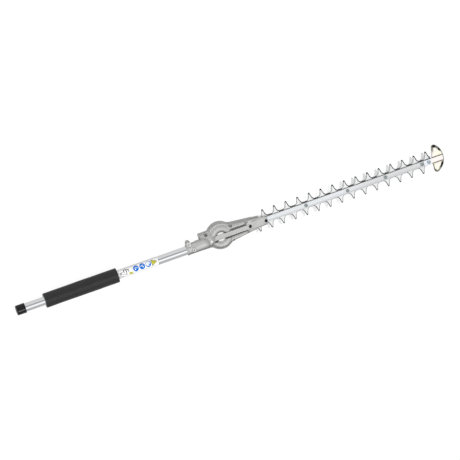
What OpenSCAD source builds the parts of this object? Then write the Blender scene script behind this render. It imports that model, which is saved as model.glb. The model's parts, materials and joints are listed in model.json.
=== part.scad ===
// Pole hedge trimmer attachment.
// Frame: origin at the centre of the pole's rear (drive) end, +X along the pole towards the blade
// tip, +Y left, +Z up, away from the blades. The blades are parallel to XY, below the pole's axis.

/* [Pole] */
// Outside diameter of the aluminium pole
pole_d = 25; // [25:0.1:25.4]
// Wall thickness of the pole
pole_wall = 1.5; // [1.2:0.1:2]
// Diameter of the solid steel drive shaft
shaft_d = 7; // [6:0.5:8]
// Number of bushings that carry the drive shaft in the pole
bush_count = 4; // [2:1:5]

/* [Grip and cap] */
// Outside diameter of the foam grip
grip_d = 42; // [36:1:46]
// Length of the foam grip
grip_len = 217; // [150:1:217]
// Length of the end cap over the pole
cap_len = 26; // [20:1:26]

/* [Blades] */
// Distance between neighbouring teeth
tooth_pitch = 35; // [35:0.5:36]
// Width across the tooth tips
blade_w = 62.6; // [58:0.2:66]
// Width of the blade between the valleys
blade_body_w = 21.6; // [20:0.2:23]
// Thickness of each blade
blade_t = 2; // [1.8:0.05:2.1]
// Teeth on the left edge (+Y) of each blade
teeth_left = 15; // [8:1:15]
// Teeth on the right edge (-Y) of each blade
teeth_right = 15; // [8:1:15]
// Width of the guide bar on top of the blades
bar_w = 16.4; // [15:0.2:18]

/* [Gearbox] */
// Eccentricity of the cams; each blade travels twice this
cam_e = 8; // [6:0.5:8]
// Radius of the cam discs
cam_r = 13.5; // [13:0.1:13.5]
// Radius of the gear case over the crank
case_r = 38; // [37.5:0.1:39]

/* [Hidden] */

alloy = [0.72, 0.72, 0.71];
steel = [0.78, 0.80, 0.82];
dark_steel = [0.45, 0.45, 0.47];
zinc = [0.86, 0.83, 0.72];
black = [0.09, 0.09, 0.10];

facets = 64;
clearance = 0.05;              // on a radius

// stations along the pole
pole_r = pole_d / 2;
bore_r = pole_r - pole_wall;
tube_end = 540.5;
lead_in = 24.5;                // turned-down end, under the cap
spigot_r = pole_r - 0.2;       // the end that slides into the power unit's coupler
lead_r = pole_r - 0.4;
mark_x = 80.5;                 // insertion mark
grip_x = 82;
lock_x = 50;                   // hole for the power unit's lock pin
neck_x = 505.5;                // rear end of the housing's neck
neck_r = 14.6;
clamp_x = 514.6;
clamp_y = 19;
locating_x = 525.2;

// gears: the pole's axis meets the countershaft's axis; the crank is one spur centre distance on
bevel_module = 1.75;
pinion_teeth = 11;
bevel_teeth = 14;
spur_module = 1.2;
spur_pinion_teeth = 12;
crank_teeth = 48;
counter_x = 576;
crank_x = counter_x + spur_module * (spur_pinion_teeth + crank_teeth) / 2;
plug_x = counter_x + 3.4;      // grease plug on the countershaft's tower

// levels
split_z = -23.5;               // underside of the top housing
gasket_t = 0.4;
cover_top = split_z - gasket_t;
base_z = -40.7;                // underside of the bottom cover
bar_z = -23.5;
bar_top = -20.5;
upper_blade_top = bar_z - 0.1;
upper_blade_z = upper_blade_top - blade_t;
lower_blade_top = upper_blade_z - 0.15;
lower_blade_z = lower_blade_top - blade_t;
upper_yoke_z = -23.5;
upper_yoke_top = -20.5;
lower_yoke_z = lower_blade_z - 4.55;
lower_yoke_top = lower_blade_z - 0.05;
washer_top = lower_blade_z - 0.1;
washer_z = washer_top - 1.5;

// at rest the upper blade is this far forward of mid-stroke, and the lower one as far behind it
rest_shift = 4.65;

// bolts through the bar and blades
bolt_r = 3;
bolt_hole_r = 3.05;
boss_screw_x = 699.5;
nose_screw_x = 747.3;
guard_screw_x = 1238;
bolt_xs = [869, 994, 1108, 1218];
slot_xs = concat([nose_screw_x], bolt_xs, [guard_screw_x]);

// bearings: bore radius, outside radius, width, number of balls
pinion_bearing = [6, 12, 6, 10];
counter_bearing = [6, 10.5, 5, 11];
small_bearing = [5, 9.5, 5, 9];
seat_gap = 0.01;               // on the radius of a bearing's seat
pinion_bearing_xs = [543, 554];
counter_bearing_z = -20.1;     // upper bearing of the countershaft
counter_lower_z = -37.4;
crank_bearing_zs = [-19.9, -38.6];

// ---------- helpers ----------
// from and to are the ends along the named axis
module x_at(x) translate([x, 0, 0]) rotate([0, 90, 0]) children();
module xcyl(radius, from, to, sides = facets)
  x_at(from) cylinder(h = to - from, r = radius, $fn = sides);
module xcone(start_r, end_r, from, to)
  x_at(from) cylinder(h = to - from, r1 = start_r, r2 = end_r, $fn = facets);
module zcyl(radius, x, y, from, to, sides = facets)
  translate([x, y, from]) cylinder(h = to - from, r = radius, $fn = sides);
module xring(outer_r, inner_r, from, to) difference() {
  xcyl(outer_r, from, to);
  xcyl(inner_r, from - 1, to + 1);
}
module zring(outer_r, inner_r, x, y, from, to) difference() {
  zcyl(outer_r, x, y, from, to);
  zcyl(inner_r, x, y, from - 1, to + 1);
}
module box(low, high) translate(low) cube(high - low);
// box on one side of the XZ plane: side 1 is left, -1 right; near and far are distances from it
module side_box(side, xs, near, far, zs)
  box([xs[0], min(side * near, side * far), zs[0]], [xs[1], max(side * near, side * far), zs[1]]);
module slab(from, to) translate([0, 0, from]) linear_extrude(to - from) children();
module hex_head(across_flats, height)
  cylinder(h = height, r = across_flats / 2 / cos(30), $fn = 6);
function reversed(list) = [for (i = [len(list) - 1 : -1 : 0]) list[i]];

// socket head cap screw about +Z, head's seat at 0, shank downwards
module cap_screw(shank_r, head_r, head_h, shank_len) difference() {
  union() {
    cylinder(h = head_h - 0.4, r = head_r, $fn = 48);
    translate([0, 0, head_h - 0.4]) cylinder(h = 0.4, r1 = head_r, r2 = head_r - 0.4, $fn = 48);
    translate([0, 0, -shank_len]) cylinder(h = shank_len + 0.1, r = shank_r, $fn = 32);
  }
  translate([0, 0, head_h - 2.8]) rotate([0, 0, 15]) cylinder(h = 3, r = shank_r * 0.98, $fn = 6);
}

// a bearing about +Z, from 0 up: outer ring with its balls, or the inner ring
function ball_circle_r(size) = (size[0] + size[1]) / 2;
function ball_r(size) = (size[1] - size[0]) * 0.27;
module ball_groove(size, gap)
  translate([0, 0, size[2] / 2]) rotate_extrude($fn = facets)
    translate([ball_circle_r(size), 0]) circle(r = ball_r(size) + gap, $fn = 32);
module bearing_outer(size) {
  width = size[2];
  balls = size[3];
  difference() {
    cylinder(h = width, r = size[1], $fn = facets);
    translate([0, 0, -1])
      cylinder(h = width + 2, r = ball_circle_r(size) + ball_r(size) * 0.55, $fn = facets);
    ball_groove(size, 0.02);
  }
  for (i = [0 : balls - 1]) rotate([0, 0, 360 / balls * i])
    translate([ball_circle_r(size), 0, width / 2]) sphere(r = ball_r(size), $fn = 32);
}
module bearing_inner(size) difference() {
  cylinder(h = size[2], r = ball_circle_r(size) - ball_r(size) * 0.55, $fn = facets);
  translate([0, 0, -1]) cylinder(h = size[2] + 2, r = size[0], $fn = facets);
  ball_groove(size, 0.04);
}

// ---------- gear teeth ----------
// thinning is in mm per flank; addendum and dedendum are in modules
pressure_angle = 20;
spur_thinning = 0.07;
spur_addendum = 0.9;
spur_dedendum = 1.2;
bevel_thinning = 0.09;
bevel_addendum = 0.8;
bevel_dedendum = 1.1;
bevel_face = 5;
pinion_cone = atan(pinion_teeth / bevel_teeth);   // half angles of the pitch cones
gear_cone = 90 - pinion_cone;

// involute function and a tooth's half angle at a radius, in degrees
function involute(angle) = tan(angle) * 180 / PI - angle;
function half_angle(radius, pitch_r, base_r, teeth, thinning) =
  90 / teeth - thinning * 180 / PI / pitch_r + involute(acos(base_r / pitch_r))
  - (radius > base_r ? involute(acos(base_r / radius)) : 0);

function polar(radius, angle) = [radius * cos(angle), radius * sin(angle)];
function spur_tooth(index, teeth, steps = 5) =
  let (pitch_r = spur_module * teeth / 2,
       base_r = pitch_r * cos(pressure_angle),
       root_r = pitch_r - spur_dedendum * spur_module,
       outer_r = pitch_r + spur_addendum * spur_module,
       start_r = max(base_r, root_r + 0.02),
       middle = 360 / teeth * index,
       // flank: radius, half angle
       flank = [for (j = [0 : steps])
         let (radius = start_r + (outer_r - start_r) * j / steps)
         [radius, half_angle(radius, pitch_r, base_r, teeth, spur_thinning)]],
       profile = concat([[root_r, flank[0][1]]], flank))
  concat([for (p = profile) polar(p[0], middle - p[1])],
         [for (p = reversed(profile)) polar(p[0], middle + p[1])]);
module spur_2d(teeth)
  polygon([for (i = [0 : teeth - 1]) for (p = spur_tooth(i, teeth)) p]);

// distance from the apex to the pitch circle at the heel, and the toe's scale towards the apex
function cone_len(teeth, cone) = bevel_module * teeth / 2 / sin(cone);
function toe_scale(teeth, cone) = 1 - bevel_face / cone_len(teeth, cone);

// one straight bevel tooth, apex at the origin, gear on +Z: flanks lie on lines through the apex
module bevel_tooth(teeth, cone) {
  // the tooth is drawn on the back cone, as a spur gear of this radius and tooth count
  back_r = bevel_module * teeth / 2 / cos(cone);
  back_teeth = teeth / cos(cone);
  base_r = back_r * cos(pressure_angle);
  radii = [for (t = [0 : 0.25 : 1])
    back_r - bevel_dedendum * bevel_module + (bevel_addendum + bevel_dedendum) * bevel_module * t];
  halves = [for (radius = radii)
    half_angle(max(radius, base_r), back_r, base_r, back_teeth, bevel_thinning) / cos(cone)];
  function point(radius, angle, scale) = scale * [
    radius * cos(cone) * cos(angle),
    radius * cos(cone) * sin(angle),
    cone_len(teeth, cone) / cos(cone) - radius * sin(cone)];
  k = len(radii);
  // four rows of k points: both flanks at the heel, then both at the toe
  points = [for (scale = [1, toe_scale(teeth, cone)]) for (flank = [-1, 1])
    for (i = [0 : k - 1]) point(radii[i], flank * halves[i], scale)];
  faces = concat(
    [for (i = [0 : k - 2]) [i, i + 1, k + i + 1, k + i]],
    [for (i = [0 : k - 2]) [2 * k + i, 3 * k + i, 3 * k + i + 1, 2 * k + i + 1]],
    [for (i = [0 : k - 2]) [i, 2 * k + i, 2 * k + i + 1, i + 1]],
    [for (i = [0 : k - 2]) [k + i, k + i + 1, 3 * k + i + 1, 3 * k + i]],
    [[k - 1, 3 * k - 1, 4 * k - 1, 2 * k - 1], [0, k, 3 * k, 2 * k]]);
  polyhedron(points = points, faces = [for (face = faces) reversed(face)], convexity = 4);
}
// root cone and teeth of a bevel gear, apex at the origin, gear on +Z, with a backing disc
module bevel_body(teeth, cone, back) {
  back_r = bevel_module * teeth / 2 / cos(cone) - (bevel_dedendum - 0.12) * bevel_module;
  root_r = back_r * cos(cone);
  root_z = cone_len(teeth, cone) / cos(cone) - back_r * sin(cone);
  toe = toe_scale(teeth, cone) - 0.03;
  heel = 0.975;
  translate([0, 0, root_z * toe])
    cylinder(h = root_z * (heel - toe), r1 = root_r * toe, r2 = root_r * heel, $fn = facets);
  translate([0, 0, root_z * heel - 0.05])
    cylinder(h = back + root_z * (1 - heel) + 0.05, r = root_r * heel - 0.12, $fn = facets);
  for (i = [0 : teeth - 1]) rotate([0, 0, 360 / teeth * i]) bevel_tooth(teeth, cone);
}

// ---------- pole ----------
cap_r = 14.2;
cap_wall = 2.5;                // end wall, behind the pole
cap_chamfer = 1.2;
spline_x = 6;                  // rear end of the drive shaft
spline_end = 26.5;
square_end = 562;              // front end of the shaft's square
square_half = 2.8;
bush_x = 70;                   // first bushing
bush_span = 360;               // from the first to the last
bush_half = 10;                // half a bushing's length

module outer_tube() color(steel) difference() {
  union() {
    xcyl(pole_r, mark_x, tube_end);
    xcyl(spigot_r, lead_in, mark_x);
    xcyl(lead_r, 0, lead_in);
  }
  xcyl(bore_r, -1, tube_end + 1);
  xring(pole_r + 1, spigot_r - 0.3, mark_x, mark_x + 0.8);
  zcyl(3.5, lock_x, 0, -20, -5);
  zcyl(3.1, locating_x, 0, 5, 20);
}

module end_cap() color(black) difference() {
  union() {
    xcyl(cap_r, cap_chamfer - cap_wall, cap_len - cap_wall);
    xcone(cap_r - cap_chamfer, cap_r, -cap_wall, cap_chamfer - cap_wall);
    xcyl(cap_r + 0.5, cap_len - cap_wall - 3, cap_len - cap_wall);
  }
  xcyl(lead_r + clearance, 0, cap_len);
  // flutes round the outside
  for (i = [0 : 11]) rotate([30 * i, 0, 0]) translate([0, 0, 14.9]) xcyl(1.2, 1, cap_len - 7, 24);
  xcyl(3, -4, 1);
}

module foam_grip() {
  inner_r = pole_r + clearance;
  outer_r = grip_d / 2;
  // radius, distance along the grip
  color(black) rotate([0, 90, 0]) rotate([0, 0, 90]) translate([0, 0, grip_x])
    rotate_extrude($fn = 96) polygon([
      [inner_r, 0], [outer_r - 1.2, 0], [outer_r - 0.4, 0.4], [outer_r, 1.2],
      [outer_r, grip_len - 1.2], [outer_r - 0.4, grip_len - 0.4], [outer_r - 1.2, grip_len],
      [inner_r, grip_len]]);
}

// two labels wrapped over the top of the pole, with the gap underneath
label_spans = [[303, 342.2], [342.8, 418.4]];
label_half_angle = 150;
module pole_labels() color([0.95, 0.95, 0.95])
  for (span = label_spans) x_at(span[0]) rotate([0, 0, 180 - label_half_angle])
    rotate_extrude(angle = 2 * label_half_angle, $fn = facets)
      translate([pole_r + 0.02, 0]) square([0.14, span[1] - span[0]]);

module drive_shaft() color(dark_steel) {
  xcyl(shaft_d / 2, 26, 547);
  // splined rear end
  xcyl(3, spline_x, spline_end);
  intersection() {
    for (a = [0 : 45 : 135]) rotate([a, 0, 0]) box([spline_x, -0.8, -5], [spline_end, 0.8, 5]);
    xcyl(3.9, spline_x - 1, spline_end + 0.5);
  }
  // square front end
  intersection() {
    box([546.5, -square_half, -square_half], [square_end, square_half, square_half]);
    xcyl(shaft_d / 2, 540, square_end + 1);
  }
}

module shaft_bushings() color([0.2, 0.2, 0.2]) for (i = [0 : bush_count - 1]) {
  x = bush_x + bush_span / (bush_count - 1) * i;
  xring(bore_r - clearance, bore_r - 2, x - bush_half, x + bush_half);
  xring(5.6, shaft_d / 2 + 0.07, x - bush_half, x + bush_half);
  for (a = [0, 120, 240]) rotate([a, 0, 0])
    box([x - bush_half, -1, 5.3], [x + bush_half, 1, bore_r - 1.5]);
}

// ---------- gear case ----------
nose_x = 750.5;                // front end of the case
crank_room_r = 34.4;
counter_room_r = 15.5;
yoke_room_half = 14;           // half width of the passage for the yokes
room_floor = -33.2;
channel_z = -28.3;             // floor of the blade channel
channel_half = 11.5;
cover_foot_z = -39.2;          // top of the cover's stepped foot
spine_half = 6.9;
tower_r = 17;
boss_r = 13.2;                 // over the crank
screw_boss_r = 9.6;            // over the boss screw
bar_head_z = -13.6;            // floor of the bar screws' counterbores
small_seat_r = small_bearing[1] + seat_gap;

// one row per pair of case screws: x, distance from the centreline, counterbore floor, length
screw_rows = [[571.4, 20, -17.9, 15.5], [645.3, 22.3, -14.6, 18.8], [691, 15.2, -14.6, 18.8]];
module case_screw_holes(radius, from, to, rows = screw_rows)
  for (row = rows, side = [-1, 1]) zcyl(radius, row[0], side * row[1], from, to, 32);

// half width of the tapered front part
function taper(x) = 22.6 - (x - 657) * 0.118;

// the round crank case and its nose, with or without the block round the countershaft
module case_outline(grow = 0, with_block = true)
  offset(delta = grow) offset(r = -22) offset(r = 22) union() {
    translate([crank_x, 0]) circle(r = case_r, $fn = 96);
    polygon([[600, taper(600)], [nose_x, taper(nose_x)], [nose_x, -taper(nose_x)],
             [600, -taper(600)]]);
    if (with_block) polygon([[551.4, 22.5], [553, 24], [592, 24], [592, -24], [553, -24],
                             [551.4, -22.5]]);
  }
// the outline between two stations
module case_part(rear, front, grow = 0, with_block = false) intersection() {
  case_outline(grow, with_block);
  translate([rear, -60]) square([front - rear, 120]);
}

// raised ring over the crank, cut in two by the spine, with an arm forward on each side
module lobes() difference() {
  union() {
    translate([crank_x, 0, -13]) rotate_extrude($fn = 96)
      translate([24, 0]) circle(r = 9.6, $fn = 48);
    for (side = [-1, 1]) translate([622, side * 18.6, -13.2]) rotate([0, 90, side * -3.6])
      cylinder(h = 68, r1 = 8.6, r2 = 3.6, $fn = 48);
  }
  box([560, -10.4, -30], [720, 10.4, 10]);
  box([560, -50, -40], [720, 50, -15.5]);
  zcyl(tower_r - 0.5, counter_x, 0, -20, 5);
}

// neck's front end: x, radius
neck_profile = [[563, neck_r], [567.5, 13], [571.5, 9], [573.5, 4.5]];
module neck() {
  xcyl(neck_r, neck_x, neck_profile[0][0]);
  for (i = [0 : len(neck_profile) - 2]) {
    start = neck_profile[i];
    end = neck_profile[i + 1];
    xcone(start[1], end[1], start[0], end[0]);
  }
  translate([0, 2.4, -1.2]) xcyl(neck_r - 0.4, 521, 562);
  // blocks that join it to the flange; the section's columns are y, z before the turn
  box([536, -11, -22], [580, 11, -6]);
  box([552, -20, -22], [590, 20, -17.5]);
  translate([553.5, 0, 0]) rotate([90, 0, 90]) linear_extrude(30)
    polygon([[-22, -20], [-21.5, -16], [-14, -5], [14, -3], [22, -15], [22.5, -20]]);
  // collar, clamp ears, and the boss of the locating screw
  xcyl(neck_r + 0.7, neck_x, neck_x + 3);
  for (z = [1, -9]) {
    zcyl(7, clamp_x, clamp_y, z, z + 8);
    box([clamp_x - 7, 8, z], [clamp_x + 7, clamp_y, z + 8]);
  }
  zcyl(6.6, locating_x, 0, 8, 14.8);
}

module housing_body() {
  // flange and stepped rim
  slab(split_z, split_z + 5) case_part(500, 760, with_block = true);
  slab(split_z + 4, split_z + 10.2) case_outline(0, false);
  slab(split_z + 10, split_z + 11.2) case_outline(-1.6, false);
  slab(split_z + 11, split_z + 11.9) case_outline(-4, false);
  // spine and bosses
  box([586, -spine_half, -20], [700, spine_half, -9.9]);
  zcyl(boss_r, crank_x, 0, -22, -11.9);
  zcyl(screw_boss_r, boss_screw_x, 0, -22, -11);
  zcyl(6.6, nose_screw_x - 3.6, 0, -22, -11);
  case_screw_holes(4.6, -22, -14.4, [screw_rows[1], screw_rows[2]]);
  // countershaft tower and plug boss
  zcyl(tower_r, counter_x, 0, split_z + 1, -6);
  translate([counter_x, 0, -6]) cylinder(h = 6, r1 = tower_r, r2 = 9.5, $fn = facets);
  zcyl(6.2, plug_x, 0, -3, 1);
  neck();
  lobes();
}

module neck_bores() {
  xcyl(pole_r + 0.03, neck_x - 1, 541);
  // pinion's bearings, circlip groove, and the narrowing room ahead of them
  xcyl(pinion_bearing[1] + seat_gap, 540, 560);
  xcyl(12.9, 541.4, 542.8);
  xcyl(11.7, 559, 565);
  xcone(11.7, 7.5, 565, 571);
  // clamp slit and bolt hole, locating screw's hole and counterbore
  box([neck_x - 1, 9, -1], [535, 30, 1]);
  zcyl(3.1, clamp_x, clamp_y, -12, 12);
  zcyl(3.08, locating_x, 0, 9, 20);
  zcyl(5.7, locating_x, 0, 13.7, 20);
}

module housing_rooms() {
  // countershaft: bearing seat, spur pinion room, bevel gear room, plug hole
  zcyl(counter_bearing[1] + seat_gap, counter_x, 0, -22, -15);
  zcyl(counter_room_r, counter_x, 0, split_z - 1, -20.2);
  zcyl(13.7, counter_x, 0, -15.5, -7);
  translate([counter_x, 0, -7.01]) cylinder(h = 5, r1 = 13.7, r2 = 7, $fn = facets);
  zcyl(3.05, plug_x, 0, -5, 3);
  // crank room: yokes and cams turn and slide here
  zcyl(crank_room_r, crank_x, 0, split_z - 1, -20.3);
  zcyl(small_seat_r, crank_x, 0, -25, -14.8);
  box([crank_x, -yoke_room_half, split_z - 1], [690.6, yoke_room_half, -20]);
  // room for the guide bar, open at the front
  box([691.4, -bar_w / 2 - 0.15, split_z - 1], [760, bar_w / 2 + 0.15, bar_top + 0.05]);
}

module top_housing() color(alloy) difference() {
  housing_body();
  neck_bores();
  housing_rooms();
  for (side = [-1, 1]) {
    // the sides of the nose fall away
    translate([0, 0, -20.2]) rotate([side * 32, 0, 0])
      side_box(side, [706, 770], 12.9, 32.9, [-0.5, 29.5]);
    // groove beside the spine
    difference() {
      side_box(side, [593.2, 690], spine_half, 10, [-17.4, 4]);
      zcyl(boss_r, crank_x, 0, -22, 0);
      zcyl(screw_boss_r, boss_screw_x, 0, -22, 0);
    }
  }
  // screw holes and counterbores
  case_screw_holes(2.6, -30, -9);
  for (row = screw_rows) case_screw_holes(4.4, row[2], 0, [row]);
  for (x = [boss_screw_x, nose_screw_x]) {
    zcyl(bolt_hole_r, x, 0, -30, 0);
    zcyl(4.4, x, 0, bar_head_z, 0);
  }
}

module bottom_cover() color(alloy) difference() {
  union() {
    // body with a stepped foot, block under the countershaft, nose plate under the blades
    slab(cover_foot_z, cover_top) case_part(560, 712);
    slab(base_z, base_z + 2) case_part(560, 710.5, -1.6);
    slab(-33, cover_top) case_part(500, 600, with_block = true);
    slab(cover_foot_z, cover_foot_z + 8) translate([counter_x, 0]) circle(r = 15, $fn = facets);
    slab(-38.4, channel_z) case_part(700, 760, -0.6);
  }
  // crank room, countershaft room, yoke room, bearing seats
  zcyl(crank_room_r, crank_x, 0, room_floor, -20);
  zcyl(counter_room_r, counter_x, 0, room_floor + 1.7, -20);
  box([crank_x, -yoke_room_half, room_floor], [699.2, yoke_room_half, -20]);
  zcyl(small_seat_r, crank_x, 0, -38.7, -30);
  zcyl(small_seat_r, counter_x, 0, -37.5, -30);
  // passage for the blades, and the room their teeth sweep
  box([698, -channel_half, channel_z], [760, channel_half, -20]);
  box([700.6, -45, channel_z], [760, 45, -20]);
  // nose: nut pocket, and slope underneath
  zcyl(8.8, nose_screw_x, 0, -35.2, -27);
  translate([712, 0, base_z]) rotate([0, -8, 0]) box([0, -50, -6], [60, 50, 0]);
  // shallow pockets in the underside
  for (side = [-1, 1])
    side_box(side, [crank_x + 26, 702], 6.5, 17.5, [base_z - 1, base_z + 1.6]);
  case_screw_holes(2.05, -34.5, -20);
}

module case_gasket() color([0.35, 0.33, 0.28]) slab(cover_top + 0.02, split_z - 0.02)
  difference() {
    case_part(500, 700.4, -0.5, true);
    translate([crank_x, 0]) circle(r = crank_room_r, $fn = facets);
    translate([counter_x, 0]) circle(r = counter_room_r, $fn = facets);
    translate([crank_x, -yoke_room_half]) square([100, 2 * yoke_room_half]);
    for (row = screw_rows, side = [-1, 1])
      translate([row[0], side * row[1]]) circle(r = 2.6, $fn = 32);
  }

module case_screws() color(steel) for (row = screw_rows, side = [-1, 1])
  translate([row[0], side * row[1], row[2] + 0.05]) cap_screw(2, 3.4, 3.2, row[3]);
module clamp_bolt() color(steel) translate([clamp_x, clamp_y, 10.25])
  cap_screw(bolt_r, 4.6, 5.6, 27);
module clamp_nut() color(steel) translate([clamp_x, clamp_y, -14.2]) difference() {
  hex_head(10, 5);
  translate([0, 0, -1]) cylinder(h = 8, r = 3.02, $fn = 32);
}
module locating_screw() color(steel) translate([locating_x, 0, 14.95])
  cap_screw(bolt_r, 4.4, 3.4, 5.2);
module bolt_washers() color([0.92, 0.92, 0.92]) {
  zring(5.5, 3.1, clamp_x, clamp_y, 9.03, 10.22);
  zring(5, 3.08, locating_x, 0, 13.73, 14.92);
}
module grease_plug() color(steel) translate([plug_x, 0, 1.03]) {
  cylinder(h = 1, r = 5.4, $fn = 48);
  translate([0, 0, 0.9]) hex_head(8, 3);
  translate([0, 0, -3.4]) cylinder(h = 4, r = 3, $fn = 32);
}

// ---------- first stage ----------
socket_half = 2.87;            // half width of the pinion's square socket
pinion_rear_x = 534;
clip_x = 541.5;                // pinion's circlip
clip_t = 1.2;

module bevel_pinion() color(dark_steel) difference() {
  union() {
    translate([counter_x, 0, 0]) rotate([0, -90, 0]) rotate([0, 0, 180 / pinion_teeth])
      bevel_body(pinion_teeth, pinion_cone, 1.2);
    xcyl(7.4, 560.6, 564);
    xcyl(5.98, pinion_rear_x, 561);
  }
  intersection() {
    box([pinion_rear_x - 1, -socket_half, -socket_half],
        [square_end + 0.5, socket_half, socket_half]);
    xcyl(shaft_d / 2 + 0.06, pinion_rear_x - 1, square_end + 0.5);
  }
  xcyl(shaft_d / 2 + 0.1, pinion_rear_x - 1, 547.1);
  xring(8, 5.5, 541.6, 542.7);
}
module pinion_bearing_outers() color(steel)
  for (x = pinion_bearing_xs) x_at(x) bearing_outer(pinion_bearing);
module pinion_bearing_inners() color(steel)
  for (x = pinion_bearing_xs) x_at(x) bearing_inner(pinion_bearing);
module pinion_spacer() color(steel) xring(11.95, 10.3, 549.05, 553.95);
module pinion_circlip() color(dark_steel) difference() {
  union() {
    xring(12.8, 10.6, clip_x, clip_x + clip_t);
    for (side = [-1, 1]) translate([0, side * 2.6, -10.6]) xcyl(1.7, clip_x, clip_x + clip_t, 24);
  }
  box([541, -1.2, -14], [543, 1.2, -8]);
}
module bevel_gear() color(dark_steel) difference() {
  translate([counter_x, 0, 0]) rotate([180, 0, 0]) rotate([0, 0, 180 / bevel_teeth])
    bevel_body(bevel_teeth, gear_cone, 2.6);
  zcyl(5.03, counter_x, 0, -20, 0);
}
module bevel_gear_screw() color(steel) {
  zcyl(6.2, counter_x, 0, -7.08, -6);
  translate([counter_x, 0, -6.05]) hex_head(7, 2.6);
  zcyl(2.4, counter_x, 0, -12, -7);
}
module countershaft() color(dark_steel) difference() {
  union() {
    zcyl(5, counter_x, 0, -37.3, -7.5);
    zcyl(5.98, counter_x, 0, -22, -14.9);
    zcyl(7, counter_x, 0, -23.5, -21.55);
    translate([counter_x, 0, -27.7]) rotate([0, 0, 180 / spur_pinion_teeth])
      linear_extrude(4.25) spur_2d(spur_pinion_teeth);
  }
  zcyl(2.42, counter_x, 0, -13, -7);
  zring(8, 5.5, counter_x, 0, -21.25, -20.15);
}
module counter_bearing_outers() color(steel) {
  translate([counter_x, 0, counter_bearing_z]) bearing_outer(counter_bearing);
  translate([counter_x, 0, counter_lower_z]) bearing_outer(small_bearing);
}
module counter_bearing_inners() color(steel) {
  translate([counter_x, 0, counter_bearing_z]) bearing_inner(counter_bearing);
  // bored slightly larger than the crank's
  translate([counter_x, 0, counter_lower_z]) bearing_inner([5.02, 9.5, 5]);
}
module counter_circlip() color(dark_steel) difference() {
  zring(7.7, 5.55, counter_x, 0, -21.2, -20.2);
  box([counter_x - 9, -2, -22], [counter_x - 3, 2, -19]);
}

// ---------- crank: side 1 is the upper cam, -1 the lower one opposite ----------
cam_rest = rest_shift / (2 * cam_e / 180);   // crank angle from mid-stroke, degrees
cam_angle = -90 + cam_rest;                  // direction of the upper cam's offset at rest
crank_shaft_r = 5;
pin_r = 1.5;
pin_offset = 8;

module pins(radius, from, to) for (side = [-1, 1])
  zcyl(radius, crank_x - side * pin_offset * sin(cam_angle), side * pin_offset * cos(cam_angle),
       from, to, 32);

module crank_shaft() color(dark_steel) zcyl(crank_shaft_r - 0.02, crank_x, 0, -38.5, -15);
module crank_gear() color(dark_steel) difference() {
  translate([crank_x, 0, -27.65]) linear_extrude(4) spur_2d(crank_teeth);
  zcyl(crank_shaft_r, crank_x, 0, -30, -20);
  pins(pin_r + 0.02, -30, -20);
  for (a = [0 : 60 : 300]) zcyl(3.2, crank_x + 21 * cos(a), 21 * sin(a), -30, -20, 32);
}
module cam(side, from, to) difference() {
  zcyl(cam_r, crank_x + side * cam_e * cos(cam_angle), side * cam_e * sin(cam_angle),
       from, to, 96);
  zcyl(crank_shaft_r, crank_x, 0, from - 1, to + 1);
  pins(pin_r + 0.02, from - 1, to + 1);
}
module upper_cam() color(dark_steel) cam(1, -23.6, -20.4);
module lower_cam() color(dark_steel) cam(-1, lower_yoke_z - 0.1, -27.7);
module cam_pins() color(steel) pins(pin_r, -32.3, -20.5);
module crank_bearing_outers() color(steel)
  for (z = crank_bearing_zs) translate([crank_x, 0, z]) bearing_outer(small_bearing);
module crank_bearing_inners() color(steel)
  for (z = crank_bearing_zs) translate([crank_x, 0, z]) bearing_inner(small_bearing);

// ---------- yokes: a cross slot round each cam, and a tail riveted to the blade ----------
rivet_xs = [659.35, 675.35];   // at mid-stroke
rivet_r = 2.5;
rivet_hole_r = 2.52;
tail_half = 9;                 // half width of the yokes' and blades' tails
play = 0.22 * cam_e;           // free play of a cam in its yoke, along the stroke

module cross_slot_2d(grow = 0) hull() for (side = [-1, 1])
  translate([0, side * (cam_e + 0.4 - play)]) circle(r = cam_r + play + grow, $fn = 96);
// shift is the distance forward of mid-stroke
module yoke(shift, from, to) difference() {
  slab(from, to) difference() {
    union() {
      translate([crank_x + shift, 0]) cross_slot_2d(4.6);
      translate([crank_x + shift + 12, -tail_half]) square([57.4, 2 * tail_half]);
    }
    translate([crank_x + shift, 0]) cross_slot_2d();
  }
  for (x = rivet_xs) zcyl(rivet_hole_r, x + shift, 0, from - 1, to + 1, 32);
}
module upper_yoke() color(dark_steel) yoke(rest_shift, upper_yoke_z, upper_yoke_top);
module lower_yoke() color(dark_steel) yoke(-rest_shift, lower_yoke_z, lower_yoke_top);

// shank, head and joint between them, each as [from, to] along Z
module rivets(shift, shank, head, joint) for (x = rivet_xs) {
  zcyl(rivet_r, x + shift, 0, shank[0], shank[1], 32);
  zcyl(4, x + shift, 0, head[0], head[1], 32);
  zcyl(rivet_r, x + shift, 0, joint[0], joint[1], 32);
}
module upper_yoke_rivets() color(steel)
  rivets(rest_shift, [upper_blade_z, upper_yoke_top],
         [upper_yoke_top + 0.01, upper_yoke_top + 0.35],
         [upper_yoke_top - 0.5, upper_yoke_top + 0.2]);
module lower_yoke_rivets() color(steel)
  rivets(-rest_shift, [lower_yoke_z, lower_blade_top],
         [lower_yoke_z - 0.35, lower_yoke_z - 0.01],
         [lower_yoke_z - 0.2, lower_yoke_z + 0.5]);

// ---------- blades: stations are at mid-stroke ----------
blade_rear_x = 651.35;
blade_front_x = 1241.35;
left_tooth_x = 741.75;         // first tooth on each edge
right_tooth_x = 722.1;
tooth_tip_r = 2.6;
body_half = blade_body_w / 2;
tip_y = blade_w / 2 - tooth_tip_r;           // centre of a tooth's round tip

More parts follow.
